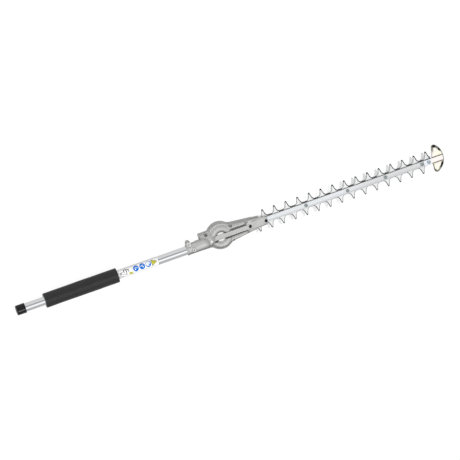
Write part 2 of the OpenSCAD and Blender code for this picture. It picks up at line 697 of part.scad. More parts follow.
// one flank from root to tip: half width of the tooth, distance from the centreline
function tooth_half(rise) = tooth_tip_r + 4.4 * (1 - rise) + 4.3 * pow(1 - rise, 6);
tooth_flank = [for (i = [0 : 10]) [tooth_half(i / 10), body_half + (tip_y - body_half) * i / 10]];
function tooth_points(x, side) = concat(
  [for (p = tooth_flank) [x - p[0], side * p[1]]],
  [for (a = [160 : -20 : 20])
    [x + tooth_tip_r * cos(a), side * (tip_y + tooth_tip_r * sin(a))]],
  [for (p = reversed(tooth_flank)) [x + p[0], side * p[1]]]);
function edge_points(x, count, side) =
  [for (i = [0 : count - 1]) for (p = tooth_points(x + tooth_pitch * i, side)) p];

module blade_2d(shift) translate([shift, 0]) difference() {
  polygon(concat(
    [[blade_rear_x, tail_half], [blade_rear_x + 34, tail_half], [blade_rear_x + 40, body_half]],
    edge_points(left_tooth_x, teeth_left, 1),
    [[blade_front_x - 3, body_half], [blade_front_x, body_half - 3],
     [blade_front_x, 3 - body_half], [blade_front_x - 3, -body_half]],
    reversed(edge_points(right_tooth_x, teeth_right, -1)),
    [[blade_rear_x + 40, -body_half], [blade_rear_x + 34, -tail_half],
     [blade_rear_x, -tail_half]]));
  for (x = slot_xs) hull() for (end = [-1, 1])
    translate([x + end * cam_e, 0]) circle(r = 5.35, $fn = 32);
  for (x = rivet_xs) translate([x, 0]) circle(r = rivet_hole_r, $fn = 32);
}
module upper_blade() color(steel) slab(upper_blade_z, upper_blade_top) blade_2d(rest_shift);
module lower_blade() color(steel) slab(lower_blade_z, lower_blade_top) blade_2d(-rest_shift);

module guide_bar() {
  half = bar_w / 2;
  color(steel) difference() {
    slab(bar_z, bar_top) polygon([
      [692, 1 - half], [693, -half], [1247, -half], [1249, 2 - half],
      [1249, half - 2], [1247, half], [693, half], [692, half - 1]]);
    for (x = concat(slot_xs, [boss_screw_x])) zcyl(bolt_hole_r, x, 0, -30, -10, 32);
  }
}

// slotted screw with its head's seat at z, reaching below the washers
module slot_screw(x, z) translate([x, 0, z]) difference() {
  shank_len = z - (washer_z - 6.6);
  union() {
    cylinder(h = 2.2, r = 4.9, $fn = 48);
    translate([0, 0, 2.2]) cylinder(h = 0.8, r1 = 4.9, r2 = 3.6, $fn = 48);
    translate([0, 0, -shank_len]) cylinder(h = shank_len + 0.1, r = bolt_r, $fn = 32);
  }
  translate([-0.8, -6, 1.9]) cube([1.6, 12, 3]);
}
// nut with a round collar, under the washer
module collar_nut(x) translate([x, 0, washer_z - 5.02]) difference() {
  union() {
    hex_head(10, 4.1);
    cylinder(h = 5, r = 4.8, $fn = 48);
  }
  translate([0, 0, -1]) cylinder(h = 8, r = 3.03, $fn = 32);
}
module blade_bolts() color(steel) {
  for (x = bolt_xs) slot_screw(x, bar_top + 0.02);
  slot_screw(guard_screw_x, guard_top + 0.02);
}
module blade_collars() color(steel)
  for (x = slot_xs) zring(5, bolt_hole_r, x, 0, washer_top + 0.02, bar_z - 0.02);
module blade_washers() color(steel)
  for (x = slot_xs) zring(8, bolt_hole_r, x, 0, washer_z, washer_top);
module blade_nuts() color(steel) for (x = concat([nose_screw_x], bolt_xs)) collar_nut(x);
module bar_screws() color(dark_steel) {
  translate([boss_screw_x, 0, bar_head_z + 0.05]) cap_screw(bolt_r, 4, 4.4, 9.85);
  translate([nose_screw_x, 0, bar_head_z + 0.05]) cap_screw(bolt_r, 4, 4.4, 21.5);
}

// a pad under the blades, with a strip up each side
seal_xs = [698.3, 700.3];
seal_half = 11.42;
seal_z = channel_z + 0.03;
module dust_seals() color([0.3, 0.28, 0.25]) {
  box([seal_xs[0], -seal_half, seal_z], [seal_xs[1], seal_half, lower_blade_z - 0.1]);
  for (side = [-1, 1]) side_box(side, seal_xs, 10.98, seal_half, [seal_z, upper_blade_z - 0.1]);
}

// ---------- tip guard: a raised channel over the bar, two wings, a curled front lip ----------
guard_t = 2.2;
guard_top = bar_top + guard_t + 0.02;  // top of the raised band
wing_top = -21.2;
lip_z = wing_top - 8;
wing_x = 1262;
wing_y = 1.6;
wing_angle = -6.5;                     // the wings stand slightly askew on the bar
// left half of the outline, from the front round to the rear: x, y from the wings' centre
half_wing = [
  [21.2, 0], [21, 7], [20.2, 13], [18.3, 20], [16.6, 23.4], [14.4, 27], [11.6, 30.8],
  [9.3, 33.2], [7, 35.4], [4, 38], [0.4, 39.8], [-3, 40], [-5.8, 39], [-8.2, 37],
  [-10, 33.6], [-10.8, 29], [-10.9, 22], [-11.6, 16], [-13.4, 9.6]];

module wing_2d() translate([wing_x, wing_y]) rotate(wing_angle) polygon(concat(half_wing,
  [for (i = [len(half_wing) - 1 : -1 : 1]) [half_wing[i][0], -half_wing[i][1]]]));
module lip_2d() difference() {
  wing_2d();
  offset(delta = -2.4) wing_2d();
  translate([1200, -60]) square([57.5, 120]);
}
module tip_guard() color(zinc) difference() {
  union() {
    // wings
    slab(wing_top - guard_t, wing_top) difference() {
      wing_2d();
      translate([1240, -8.6]) square([60, 17.2]);
    }
    // raised band
    box([1223.5, -8.1, guard_top - guard_t], [1281.4, 8.1, guard_top]);
    // sides of the channel
    for (side = [-1, 1]) intersection() {
      side_box(side, [1249.5, 1281.9], 6.6, 9.1, [wing_top - guard_t, guard_top]);
      slab(-40, 0) union() {
        wing_2d();
        translate([1240, -9.1]) square([20, 18.2]);
      }
    }
    // lip down along the edge, closed up to the band across the channel
    slab(lip_z, wing_top - guard_t + 0.1) lip_2d();
    slab(lip_z, guard_top) intersection() {
      lip_2d();
      translate([1272, -8.6]) square([40, 17.2]);
    }
  }
  zcyl(bolt_hole_r, guard_screw_x, 0, -30, -10, 32);
}
module tip_guard_nut() color(steel) collar_nut(guard_screw_x);

outer_tube();
end_cap();
foam_grip();
pole_labels();
drive_shaft();
shaft_bushings();
top_housing();
bottom_cover();
case_gasket();
case_screws();
clamp_bolt();
clamp_nut();
locating_screw();
bolt_washers();
grease_plug();
bevel_pinion();
pinion_bearing_outers();
pinion_bearing_inners();
pinion_spacer();
pinion_circlip();
bevel_gear();
bevel_gear_screw();
countershaft();
counter_bearing_outers();
counter_bearing_inners();
counter_circlip();
crank_shaft();
crank_gear();
upper_cam();
lower_cam();
cam_pins();
crank_bearing_outers();
crank_bearing_inners();
upper_yoke();
lower_yoke();
upper_yoke_rivets();
lower_yoke_rivets();
upper_blade();
lower_blade();
guide_bar();
blade_bolts();
blade_collars();
blade_washers();
blade_nuts();
bar_screws();
dust_seals();
tip_guard();
tip_guard_nut();
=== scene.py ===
"""A pole-mounted trimmer with reciprocating blades, lying along +X with +Z up.

The end cap, foam grip and labelled tube come first, the gear case's crank is at
x = 0.612 m, and the blades run on to the tip guard near x = 1.26 m. Lengths are
in metres; tables and surface patterns that say so are in millimetres.
"""
import json
import math

import bmesh
import bpy
import numpy as np
from mathutils import Matrix, Vector


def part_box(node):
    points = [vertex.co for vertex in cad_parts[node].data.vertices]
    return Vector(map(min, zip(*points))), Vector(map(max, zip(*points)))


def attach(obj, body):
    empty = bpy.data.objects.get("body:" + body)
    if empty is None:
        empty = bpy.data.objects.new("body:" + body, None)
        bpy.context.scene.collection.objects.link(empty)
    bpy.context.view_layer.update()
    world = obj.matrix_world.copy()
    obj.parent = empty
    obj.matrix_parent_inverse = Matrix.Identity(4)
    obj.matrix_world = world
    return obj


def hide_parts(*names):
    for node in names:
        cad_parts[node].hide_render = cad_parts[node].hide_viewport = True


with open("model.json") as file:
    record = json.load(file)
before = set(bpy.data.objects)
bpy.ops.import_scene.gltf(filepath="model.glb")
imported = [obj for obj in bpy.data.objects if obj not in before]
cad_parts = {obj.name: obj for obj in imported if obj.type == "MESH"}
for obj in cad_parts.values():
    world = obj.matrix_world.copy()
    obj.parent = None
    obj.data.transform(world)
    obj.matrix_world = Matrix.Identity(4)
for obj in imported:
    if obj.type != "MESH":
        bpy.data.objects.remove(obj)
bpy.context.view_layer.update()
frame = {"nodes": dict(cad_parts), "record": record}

NODES = frame["nodes"]

MM = 0.001
WELD_DISTANCE = 2e-6
TUBE_RADIUS = 0.0125
CAMERA_LEAN = math.radians(22.0)  # from +Z towards +Y; the labels face the same way

# ------------------------------------------------------------------ node helpers

EVEN = (1, 1, 1)


class Graph:
    """Short ways to add nodes to the node tree of a material or world."""

    def __init__(self, owner):
        owner.use_nodes = True
        self.tree = owner.node_tree
        self.tree.nodes.clear()

    def node(self, kind, **settings):
        node = self.tree.nodes.new("ShaderNode" + kind)
        for key, value in settings.items():
            setattr(node, key, value)
        return node

    def link(self, output, socket):
        self.tree.links.new(output, socket)

    def remap(self, source, span, to=(0.0, 1.0), ease="LINEAR"):
        """The range `span` of the source becomes the range `to`, clamped."""
        node = self.node("MapRange", interpolation_type=ease)
        node.inputs["From Min"].default_value, node.inputs["From Max"].default_value = span
        node.inputs["To Min"].default_value, node.inputs["To Max"].default_value = to
        self.link(source, node.inputs["Value"])
        return node.outputs["Result"]

    def ramp(self, source, stops):
        """A colour ramp from (position, colour) stops."""
        node = self.node("ValToRGB")
        elements = node.color_ramp.elements
        while len(elements) > 1:
            elements.remove(elements[-1])
        elements[0].position = stops[0][0]
        elements[0].color = (*stops[0][1], 1)
        for position, colour in stops[1:]:
            elements.new(position).color = (*colour, 1)
        self.link(source, node.inputs[0])
        return node.outputs[0]

    def math(self, operation, a, b=None, clamp=False):
        node = self.node("Math", operation=operation, use_clamp=clamp)
        for i, value in enumerate((a, b)):
            if isinstance(value, (int, float)):
                node.inputs[i].default_value = value
            elif value is not None:
                self.link(value, node.inputs[i])
        return node.outputs[0]

    def mix(self, factor, base, colour):
        """The base socket's colour, taken towards a fixed colour by the factor."""
        node = self.node("Mix", data_type="RGBA")
        self.link(factor, node.inputs[0])
        self.link(base, node.inputs[6])
        node.inputs[7].default_value = (*colour, 1)
        return node.outputs[2]


class Material(Graph):
    """A material whose patterns follow object coordinates in millimetres."""

    def __init__(self, name):
        self.material = bpy.data.materials.new(name)
        super().__init__(self.material)
        self.output = self.node("OutputMaterial")
        self.texture_coords = self.node("TexCoord")

    def coords(self, stretch=EVEN):
        mapping = self.node("Mapping")
        mapping.inputs["Scale"].default_value = [1000.0 * s for s in stretch]
        self.link(self.texture_coords.outputs["Object"], mapping.inputs["Vector"])
        return mapping.outputs[0]

    def noise(self, scale, stretch=EVEN, detail=4, roughness=0.55, distortion=0.0):
        node = self.node("TexNoise")
        node.inputs["Scale"].default_value = scale
        node.inputs["Detail"].default_value = detail
        node.inputs["Roughness"].default_value = roughness
        node.inputs["Distortion"].default_value = distortion
        self.link(self.coords(stretch), node.inputs["Vector"])
        return node.outputs[0]

    def position(self):
        """The X, Y and Z of the point in millimetres."""
        node = self.node("SeparateXYZ")
        self.link(self.coords(), node.inputs[0])
        return node.outputs

    def normal(self):
        """The X, Y and Z of the surface normal."""
        geometry = self.node("NewGeometry")
        node = self.node("SeparateXYZ")
        self.link(geometry.outputs["Normal"], node.inputs[0])
        return node.outputs

    def finish(self, base, grain, metallic, roughness, relief=None, specular=0.5):
        """Closes the material: the grain drives roughness (low, high) and
        relief (strength, depth in mm)."""
        principled = self.node("BsdfPrincipled")
        self.link(principled.outputs[0], self.output.inputs[0])
        self.link(base, principled.inputs["Base Color"])
        principled.inputs["Metallic"].default_value = metallic
        principled.inputs["Specular IOR Level"].default_value = specular
        roughness = self.remap(grain, span=(0.3, 0.7), to=roughness)
        self.link(roughness, principled.inputs["Roughness"])
        if relief:
            strength, depth = relief
            bump = self.node("Bump")
            bump.inputs["Strength"].default_value = strength
            bump.inputs["Distance"].default_value = depth * MM
            self.link(grain, bump.inputs["Height"])
            self.link(bump.outputs[0], principled.inputs["Normal"])
        return self.material


def tint(colour, factor):
    return tuple(min(1.0, v * factor) for v in colour)


# ------------------------------------------------------------------ materials


def surface(name, colour, metallic, rough, tone_spread, tone_scale, rough_spread,
            grain_scale, relief_depth, relief_strength, tone_stretch=EVEN,
            grain_stretch=EVEN, specular=0.5, dirt=0.0, side_shade=0.0):
    """Slow tone variation under a fine grain that shows in tone, roughness and relief, with
    painted shade in corners and on the side turned to -Y where asked for.
    """
    t = Material(name)
    slow = t.noise(tone_scale, tone_stretch, detail=5)
    fine = t.noise(grain_scale, grain_stretch, detail=3, roughness=0.6)
    base = t.ramp(slow, [(0.25, tint(colour, 1 - tone_spread)), (0.5, colour),
                         (0.78, tint(colour, 1 + tone_spread * 0.7))])
    grain = t.remap(fine, span=(0.35, 0.75), to=(0.0, 0.5))
    base = t.mix(grain, base, tint(colour, 1 - tone_spread * 1.6))
    # painted shade: ambient occlusion darkens the colour in corners and recesses
    if dirt:
        occlusion = t.node("AmbientOcclusion", samples=6)
        occlusion.inputs["Distance"].default_value = 0.006
        corners = t.math("SUBTRACT", 1.0, occlusion.outputs["AO"], clamp=True)
        base = t.mix(t.math("MULTIPLY", corners, dirt, clamp=True), base, tint(colour, 0.32))
    if side_shade:
        # painted shade: the casting is darkened where its surface turns away towards -Y
        shade = t.remap(t.normal()["Y"], span=(-0.62, -0.12), to=(side_shade, 0.0))
        base = t.mix(shade, base, tint(colour, 0.30))
    return t.finish(base, fine, metallic, (rough - rough_spread, rough + rough_spread),
                    relief=(relief_strength, relief_depth), specular=specular)


# The record's material slots are looked up here by name. Columns: name, colour,
# metallic, roughness, tone spread, tone scale (per mm), roughness spread,
# grain scale (per mm), relief depth (mm), relief strength, other settings.
SURFACES = [
    ("alu_tube", (0.88, 0.885, 0.89), 1, 0.13, 0.03, 0.02, 0.03, 1.5, 0.002, 0.10,
     dict(tone_stretch=(0.15, 1, 1), grain_stretch=(0.03, 2, 2))),
    # case_alloy and the screws and bolts below take painted shade in their corners; case_alloy
    # also on its -Y side
    ("case_alloy", (0.57, 0.57, 0.555), 0.38, 0.47, 0.12, 0.06, 0.07, 0.9, 0.07, 0.55,
     dict(dirt=0.62, side_shade=0.85)),
    # near-black colour for the guide bar's side faces: painted shade
    ("bar_side", (0.035, 0.036, 0.032), 0.1, 0.40, 0.12, 0.1, 0.08, 1.6, 0.02, 0.3, {}),
    ("machined", (0.90, 0.90, 0.89), 0.5, 0.34, 0.04, 0.3, 0.06, 2, 0.01, 0.3, {}),
    ("screw_zinc", (0.86, 0.87, 0.88), 0.7, 0.32, 0.06, 0.3, 0.08, 2, 0.01, 0.2,
     dict(dirt=0.5)),
    ("screw_grey", (0.56, 0.565, 0.55), 0.6, 0.36, 0.10, 0.3, 0.08, 2, 0.01, 0.2,
     dict(dirt=0.8)),
    ("bolt_grey", (0.34, 0.38, 0.37), 0.4, 0.34, 0.10, 0.3, 0.08, 2, 0.01, 0.2,
     dict(dirt=0.6)),
    ("bolt_blue", (0.50, 0.58, 0.66), 0.8, 0.30, 0.12, 0.4, 0.08, 2, 0.01, 0.2,
     dict(dirt=0.4)),
    ("screw_black", (0.012, 0.016, 0.02), 0.3, 0.42, 0.2, 0.4, 0.1, 3, 0.01, 0.2, {}),
    # near-black colour for the inside of socket heads: painted shade
    ("socket", (0.015, 0.015, 0.016), 0.2, 0.6, 0.2, 0.4, 0.1, 3, 0.01, 0.2, {}),
    ("washer_zinc", (0.93, 0.93, 0.93), 0.6, 0.34, 0.04, 0.3, 0.06, 2, 0.01, 0.2, {}),
    ("bearing_steel", (0.62, 0.63, 0.65), 1, 0.12, 0.05, 0.3, 0.04, 3, 0.005, 0.1, {}),
    ("gear_steel", (0.30, 0.30, 0.31), 1, 0.30, 0.15, 0.15, 0.08, 1.6, 0.02, 0.3, {}),
    ("shaft_steel", (0.42, 0.43, 0.45), 1, 0.25, 0.1, 0.1, 0.08, 2, 0.01, 0.3,
     dict(tone_stretch=(0.3, 1, 1), grain_stretch=(3, 0.3, 0.3))),
    ("bush_plastic", (0.06, 0.06, 0.06), 0, 0.5, 0.15, 0.2, 0.1, 3, 0.01, 0.2, {}),
    ("gasket_paper", (0.12, 0.11, 0.09), 0, 0.85, 0.2, 0.3, 0.05, 3, 0.03, 0.4, {}),
    ("blade_steel", (0.84, 0.845, 0.84), 0.35, 0.30, 0.05, 0.05, 0.07, 1.5, 0.01, 0.3,
     dict(tone_stretch=(0.3, 1, 1), grain_stretch=(0.25, 3, 3))),
    # the blade colours below stand in for light and shade on the ground flanks, sides and
    # tips: painted shade and painted light
    ("blade_ground", (0.030, 0.031, 0.028), 0.0, 0.50, 0.18, 0.12, 0.08, 1.6, 0.02, 0.4, {}),
    ("blade_edge_light", (0.42, 0.43, 0.43), 0.3, 0.40, 0.08, 0.12, 0.08, 1.6, 0.02, 0.4, {}),
    ("blade_ground_light", (0.33, 0.335, 0.33), 0.3, 0.40, 0.15, 0.12, 0.08, 1.6, 0.02, 0.4,
     {}),
    ("blade_ground_mid", (0.12, 0.122, 0.12), 0.2, 0.40, 0.15, 0.12, 0.08, 1.6, 0.02, 0.4, {}),
    ("blade_edge", (0.05, 0.052, 0.05), 0.2, 0.45, 0.15, 0.12, 0.08, 1.6, 0.02, 0.4, {}),
    ("seal_felt", (0.15, 0.14, 0.12), 0, 0.95, 0.25, 0.5, 0.05, 4, 0.08, 0.8, {}),
    ("cap_rubber", (0.005, 0.005, 0.006), 0, 0.32, 0.2, 0.1, 0.08, 2, 0.03, 0.4,
     dict(specular=0.35)),
    ("grip_foam", (0.019, 0.019, 0.020), 0, 0.44, 0.25, 0.08, 0.06, 1.1, 0.10, 0.6,
     dict(specular=0.42)),
    ("label_film", (0.93, 0.93, 0.93), 0, 0.4, 0.03, 0.1, 0.04, 2, 0.003, 0.2, {}),
    ("print_blue", (0.0, 0.155, 0.60), 0, 0.5, 0.05, 0.2, 0.04, 2, 0.003, 0.2,
     dict(specular=0.10)),
    ("print_white", (0.90, 0.90, 0.90), 0, 0.32, 0.03, 0.2, 0.04, 2, 0.003, 0.2, {}),
    ("print_yellow", (0.62, 0.60, 0.06), 0, 0.5, 0.05, 0.2, 0.04, 2, 0.003, 0.2,
     dict(specular=0.2)),
    ("print_olive", (0.15, 0.14, 0.03), 0, 0.5, 0.05, 0.2, 0.04, 2, 0.003, 0.2,
     dict(specular=0.2)),
    ("print_grey", (0.05, 0.05, 0.05), 0, 0.5, 0.1, 0.2, 0.04, 2, 0.003, 0.2,
     dict(specular=0.2)),
    # painted highlight along the cap, and a near-black matte strip beside it
    ("cap_seam", (0.11, 0.11, 0.11), 0, 0.5, 0.1, 0.2, 0.04, 2, 0.003, 0.2,
     dict(specular=0.3)),
    ("cap_groove", (0.002, 0.002, 0.002), 0, 0.7, 0.1, 0.2, 0.04, 2, 0.003, 0.2,
     dict(specular=0.1)),
    # painted shade for the curled edges of the tip guard; not assigned to any face
    ("guard_dark", (0.10, 0.10, 0.07), 0.6, 0.25, 0.3, 0.2, 0.07, 1.5, 0.01, 0.25, {}),
]


def guard_finish():
    """Yellow passivated zinc: the film drifts from cream to pink and green. Where the sheet is
    curled its colour is darkened as painted shade, and the rim band is painted shade mixed
    with the film's tint."""
    t = Material("guard_zinc")
    drift = t.noise(scale=0.07, detail=4, roughness=0.5, distortion=1.2)
    fine = t.noise(scale=1.5, detail=3, roughness=0.6)
    base = t.ramp(drift, [(0.28, (0.93, 0.92, 0.74)), (0.42, (1.0, 0.96, 0.76)),
                          (0.52, (1.0, 0.97, 0.88)), (0.60, (1.0, 0.91, 0.90)),
                          (0.70, (1.0, 0.97, 0.80)), (0.85, (0.88, 0.92, 0.78))])
    place = t.position()
    x, y = place["X"], place["Y"]
    from_middle = t.math("ABSOLUTE", y)
    # the tongue has lost most of its colour, and so has the top of the band
    base = t.mix(t.remap(x, span=(1242, 1251), to=(0.9, 0.0)), base, (0.80, 0.84, 0.90))
    band = t.math("MULTIPLY", t.remap(from_middle, span=(6.6, 7.6), to=(1, 0)),
                  t.remap(x, span=(1249, 1253)))
    base = t.mix(t.math("MULTIPLY", band, 0.6), base, (1.0, 0.90, 0.93))
    # dark lines in the corners along both sides of the band
    line = t.math("MULTIPLY", t.remap(from_middle, span=(7.3, 8.1)),
                  t.remap(from_middle, span=(9.3, 10.1), to=(1, 0)))
    line = t.math("MULTIPLY", line, t.remap(x, span=(1249, 1250)))
    base = t.mix(t.math("MULTIPLY", line, 0.86), base, (0.16, 0.15, 0.07))
    # a wider dark strip on the -Y side only
    strip = t.math("MULTIPLY", t.remap(y, span=(-9.4, -8.8)),
                   t.remap(y, span=(-6.0, -5.2), to=(1, 0)))
    strip = t.math("MULTIPLY", strip, t.remap(x, span=(1246, 1248)))
    base = t.mix(t.math("MULTIPLY", strip, 0.92), base, (0.15, 0.13, 0.07))
    # painted shade where the curled sheet turns away from straight up
    slope = t.remap(t.normal()["Z"], span=(0.78, 0.975), to=(1.0, 0.0))
    base = t.mix(slope, base, (0.045, 0.048, 0.030))
    # the rim band: painted shade of the curled rim, mixed with the film's tint, stored per
    # point
    rim_shade_tint = t.node("Attribute", attribute_name="rim_shade_tint")
    mix = t.node("Mix", data_type="RGBA")
    t.link(rim_shade_tint.outputs["Alpha"], mix.inputs[0])
    t.link(base, mix.inputs[6])
    t.link(rim_shade_tint.outputs["Color"], mix.inputs[7])
    return t.finish(mix.outputs[2], fine, metallic=0.35, roughness=(0.16, 0.30),
                    relief=(0.2, 0.01))


def bar_finish():
    """Drawn bar: faint lengthwise streaks, a painted shade along the +Y arris, and darker
    bands towards the tip, over the -Y half and along the -Y edge.
    """
    t = Material("bar_steel")
    streak = t.noise(scale=0.5, stretch=(0.02, 1.6, 1.6), detail=4, roughness=0.6)
    slow = t.noise(scale=0.012, detail=3)
    base = t.ramp(streak, [(0.3, (0.70, 0.73, 0.76)), (0.5, (0.80, 0.825, 0.85)),
                           (0.7, (0.90, 0.92, 0.94))])
    base = t.mix(t.remap(slow, span=(0.4, 0.7), to=(0, 0.35)), base, (0.86, 0.85, 0.84))
    place = t.position()
    # axis, span along it in mm, strength at the span's two ends, colour
    for axis, span, strength, colour in (
            ("X", (985, 1060), (0, 0.8), (0.70, 0.705, 0.70)),
            ("Y", (-5.6, -0.5), (0.46, 0), (0.46, 0.47, 0.48)),
            # painted shade: a dark line along the +Y arris
            ("Y", (7.2, 7.6), (0, 0.93), (0.05, 0.05, 0.045)),
            ("Y", (-8.0, -7.5), (0.45, 0), (0.30, 0.31, 0.32))):
        base = t.mix(t.remap(place[axis], span=span, to=strength), base, colour)
    return t.finish(base, streak, metallic=0.45, roughness=(0.28, 0.42), relief=(0.2, 0.01))


def low_finish(name, dark, light):
    """Lower blade: bright polish, worn grey on the +Y teeth towards the tip and on
    the -Y teeth near the case."""
    t = Material(name)
    fine = t.noise(scale=1.5, stretch=(0.25, 3, 3), detail=3, roughness=0.6)
    place = t.position()
    plus = t.remap(place["X"], span=(900, 1010), to=(1.0, 0.12))
    minus = t.remap(place["X"], span=(930, 1030), to=(0.45, 1.0))
    side = t.remap(place["Y"], span=(-2, 2))
    plus_part = t.math("MULTIPLY", side, plus)
    minus_part = t.math("MULTIPLY", t.math("SUBTRACT", 1.0, side), minus)
    polish = t.math("ADD", plus_part, minus_part)
    mix = t.node("Mix", data_type="RGBA")
    t.link(polish, mix.inputs[0])
    mix.inputs[6].default_value = (*dark, 1)
    mix.inputs[7].default_value = (*light, 1)
    return t.finish(mix.outputs[2], fine, metallic=0.3, roughness=(0.28, 0.42))


# these two names are taken first, so that the finishes built below get a numbered name
for name in ("bar_steel", "blade_low"):
    bpy.data.materials.new(name)

M = {name: surface(name, colour, *numbers, **others)
     for name, colour, *numbers, others in SURFACES}
M["blade_low"] = low_finish("blade_low", dark=(0.60, 0.605, 0.60), light=(1.0, 1.0, 1.0))
# darker copies of the lower blade's finish: painted shade for its flanks and sides
M["low_edge_painted_shade"] = low_finish("low_edge_painted_shade", dark=(0.42, 0.43, 0.43), light=(0.96, 0.96, 0.96))
M["low_ground_painted_shade"] = low_finish("low_ground_painted_shade", dark=(0.33, 0.335, 0.33), light=(0.95, 0.95, 0.95))
M["bar_steel"] = bar_finish()
M["guard_zinc"] = guard_finish()


def set_materials(node, *names):
    materials = NODES[node].data.materials
    materials.clear()
    for name in names:
        materials.append(M[name])


slot_of = {part["node"]: part["material_slot"] for part in frame["record"]["subparts"]}
for name in NODES:
    set_materials(name, slot_of[name])

# ------------------------------------------------------------------ mesh helpers


def new_object(name, mesh, materials, body, smooth=False, replaced=None):
    obj = bpy.data.objects.new(name, mesh)
    bpy.context.scene.collection.objects.link(obj)
    # clearing the materials also clears the faces' slots, so they are put back
    slots = [p.material_index for p in mesh.polygons]
    mesh.materials.clear()
    for material in materials:
        mesh.materials.append(M[material])
    mesh.polygons.foreach_set("material_index", slots)
    if smooth:
        for p in mesh.polygons:
            p.use_smooth = True
    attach(obj, body)
    if replaced:
        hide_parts(replaced)
    return obj


def to_mesh(bm, name):
    mesh = bpy.data.meshes.new(name)
    bm.to_mesh(mesh)
    bm.free()
    return mesh


def welded(node):
    """The node's mesh as a bmesh with its split vertices welded."""
    bm = bmesh.new()
    bm.from_mesh(NODES[node].data)
    bmesh.ops.remove_doubles(bm, verts=bm.verts, dist=WELD_DISTANCE)
    return bm


def bisect(bm, point, normal):
    bmesh.ops.bisect_plane(bm, geom=bm.verts[:] + bm.edges[:] + bm.faces[:],
                           plane_co=point, plane_no=normal, dist=1e-7)


def solid_centres(node):
    """Centre in X and Y, and top, of each separate solid of a node."""
    bm = welded(node)
    seen, centres = set(), []
    for start in bm.verts:
        if start in seen:
            continue
        stack, points = [start], []
        seen.add(start)
        while stack:
            vert = stack.pop()
            points.append(vert.co.copy())
            for edge in vert.link_edges:
                other = edge.other_vert(vert)
                if other not in seen:
                    seen.add(other)
                    stack.append(other)
        xs, ys, zs = zip(*points)
        centres.append(((min(xs) + max(xs)) / 2, (min(ys) + max(ys)) / 2, max(zs)))
    bm.free()
    return centres


def cast(node, body, material, voxel, rounds):
    """The node's mesh with the soft edges of a casting: voxels (mm), then smoothing."""
    temp = bpy.data.objects.new("tmp_cast", to_mesh(welded(node), node + "_cast"))
    bpy.context.scene.collection.objects.link(temp)
    remesh = temp.modifiers.new("remesh", "REMESH")
    remesh.mode = "VOXEL"
    remesh.voxel_size = voxel * MM
    remesh.adaptivity = 0.0
    smooth = temp.modifiers.new("smooth", "SMOOTH")
    smooth.factor, smooth.iterations = 0.5, rounds
    depsgraph = bpy.context.evaluated_depsgraph_get()
    mesh = bpy.data.meshes.new_from_object(temp.evaluated_get(depsgraph))
    bpy.data.objects.remove(temp)
    return new_object(node + "_cast", mesh, [material], body, smooth=True, replaced=node)


# ------------------------------------------------------------------ case and cap

cast("top_housing", "frame", "case_alloy", voxel=0.62, rounds=7)
cast("bottom_cover", "frame", "case_alloy", voxel=0.75, rounds=5)
cast("end_cap", "cap_line", "cap_rubber", voxel=0.45, rounds=4)

# ------------------------------------------------------------------ foam grip

GRIP_BORE_RADIUS = 0.01256
GRIP_END_ROUND = 0.0016
GRIP_END_STEPS = 6
GRIP_LENGTH_STEPS = 90
GRIP_SIDES = 96


def grip_profile(x0, x1, radius):
    """(x, radius) along the sleeve, from bore to bore over the rounded ends."""
    e = GRIP_END_ROUND
    turns = [math.pi / 2 * i / GRIP_END_STEPS for i in range(GRIP_END_STEPS + 1)]
    first = [(x0 + e * (1 - math.cos(a)), radius - e * (1 - math.sin(a))) for a in turns]
    length = [(x0 + e + (x1 - x0 - 2 * e) * i / GRIP_LENGTH_STEPS, radius)
              for i in range(1, GRIP_LENGTH_STEPS)]
    last = [(x1 - e * (1 - math.cos(a)), radius - e * (1 - math.sin(a)))
            for a in reversed(turns)]
    wall = (GRIP_BORE_RADIUS + radius) / 2
    return ([(x0, GRIP_BORE_RADIUS), (x0, wall)] + first + length + last
            + [(x1, wall), (x1, GRIP_BORE_RADIUS)])


def grip():
    """A foam sleeve: rounded ends and a surface that is never quite even."""
    low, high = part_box("foam_grip")
    radius = high[2]
    profile = grip_profile(low[0], high[0], radius)
    phase = np.random.default_rng(7).uniform(0, 6.28, 8)
    verts, faces = [], []
    for x, r in profile:
        for j in range(GRIP_SIDES):
            a = 2 * math.pi * j / GRIP_SIDES
            wobble = 0.0
            if r > radius - 0.0025:
                wobble = (0.00010 * math.sin(3 * a + phase[0] + 31 * x)
                          + 0.00010 * math.sin(2 * a + phase[1] - 47 * x)
                          + 0.00006 * math.sin(5 * a + phase[2] + 90 * x))
                wobble -= 0.00008
            verts.append((x, (r + wobble) * math.cos(a), (r + wobble) * math.sin(a)))
    for i in range(len(profile)):
        row, next_row = i * GRIP_SIDES, (i + 1) % len(profile) * GRIP_SIDES
        for j in range(GRIP_SIDES):
            k = (j + 1) % GRIP_SIDES
            faces.append((row + j, row + k, next_row + k, next_row + j))
    mesh = bpy.data.meshes.new("grip_skin")
    mesh.from_pydata(verts, [], faces)
    mesh.validate()
    bm = bmesh.new()
    bm.from_mesh(mesh)
    bmesh.ops.recalc_face_normals(bm, faces=bm.faces)
    bm.to_mesh(mesh)
    bm.free()
    new_object("grip_skin", mesh, ["grip_foam"], "frame", smooth=True, replaced="foam_grip")
    for p in mesh.polygons:
        if abs(p.normal.x) > 0.98:
            p.use_smooth = False


grip()

# ------------------------------------------------------------------ blades

SLOT_CUT_OFFSET = 0.0045  # of the cut across each slot from its collar's centre
GROUND_WIDTH = 0.0023
GROUND_DROP = 0.00115
TIP_EXTRA_DROP = 0.0005
TOOTH_TIP_Y = 0.0272
SPINE_Y = 0.0118

